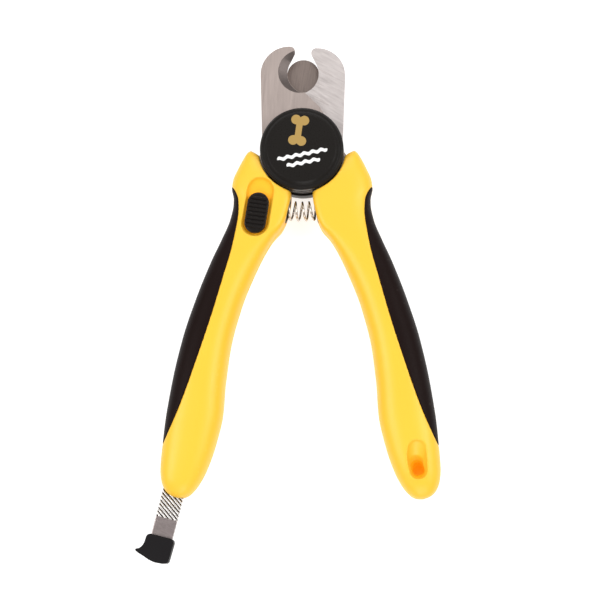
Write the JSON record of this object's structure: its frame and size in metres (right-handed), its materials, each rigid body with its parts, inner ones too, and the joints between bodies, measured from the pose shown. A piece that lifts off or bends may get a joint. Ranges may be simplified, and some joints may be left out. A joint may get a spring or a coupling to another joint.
{
  "type": "pet nail clipper",
  "caption": "Plier-style pet nail clipper: crossed steel jaws with a nail guard, sprung soft-grip handles, a sliding lock and a nail file stowed in one handle.",
  "frame": {"origin": "on the pivot axis, at the flat back of the rear cap that the clipper lies on", "axes": "+Z along the pivot axis towards the front cap; +Y from the pivot towards the jaws, halfway between the open handles; +X towards the right-hand handle, the one without the lock and the file"},
  "size_m": [0.1049, 0.1828, 0.0182],
  "materials": {
    "blade_steel": "ground and lightly brushed",
    "guard_steel": "dull brushed",
    "hardware_steel": "turned",
    "spring_steel": "bright drawn wire and strip",
    "file_steel": "etched with diagonal file cuts",
    "black_plastic": "satin moulded",
    "yellow_plastic": "smooth moulded, soft sheen",
    "black_rubber": "soft-touch moulded grip"
  },
  "bodies": {
    "left_lever": {"back_blade": "blade_steel", "blade_stop_pin": "hardware_steel", "left_front_shell": "yellow_plastic", "left_rear_shell": "yellow_plastic", "left_grip": "black_rubber", "left_tang_pins": "hardware_steel", "left_spring_seat": "black_plastic", "lock_detent_spring": "spring_steel", "file_retaining_spring": "spring_steel", "return_spring": "spring_steel"},
    "right_lever": {"front_blade": "blade_steel", "right_front_shell": "yellow_plastic", "right_rear_shell": "yellow_plastic", "right_grip": "black_rubber", "right_tang_pins": "hardware_steel", "right_spring_seat": "black_plastic", "pivot_bolt": "hardware_steel", "pivot_nut": "hardware_steel", "front_washer": "hardware_steel", "wave_washer": "hardware_steel", "front_cap": "black_plastic", "rear_cap": "black_plastic"},
    "guard": {"nail_guard": "guard_steel"},
    "lock": {"lock_button": "black_plastic", "lock_bolt": "hardware_steel"},
    "file": {"nail_file": "file_steel", "file_cap": "black_rubber"}
  },
  "joints": [
    {"name": "handles_close", "type": "hinge", "parent": "left_lever", "child": "right_lever", "pos_m": [0, 0, 0.0096], "axis": [0, 0, -1], "range_deg": [0, 23.5], "stiffness_Nm_per_rad": 0.8, "springref_deg": -5.73, "deforming": ["return_spring"]},
    {"name": "guard_swing", "type": "hinge", "parent": "left_lever", "child": "guard", "pos_m": [0, 0, 0.0066], "axis": [0, 0, 1], "range_deg": [-25, 25]},
    {"name": "lock_slide", "type": "slide", "parent": "left_lever", "child": "lock", "axis": [0.1521, 0.9884, 0], "range_m": [0, 0.0047], "deforming": ["lock_detent_spring"]},
    {"name": "file_slide", "type": "slide", "parent": "left_lever", "child": "file", "axis": [-0.2419, -0.9703, 0], "range_m": [-0.0139, 0.05], "deforming": ["file_retaining_spring"]}
  ]
}
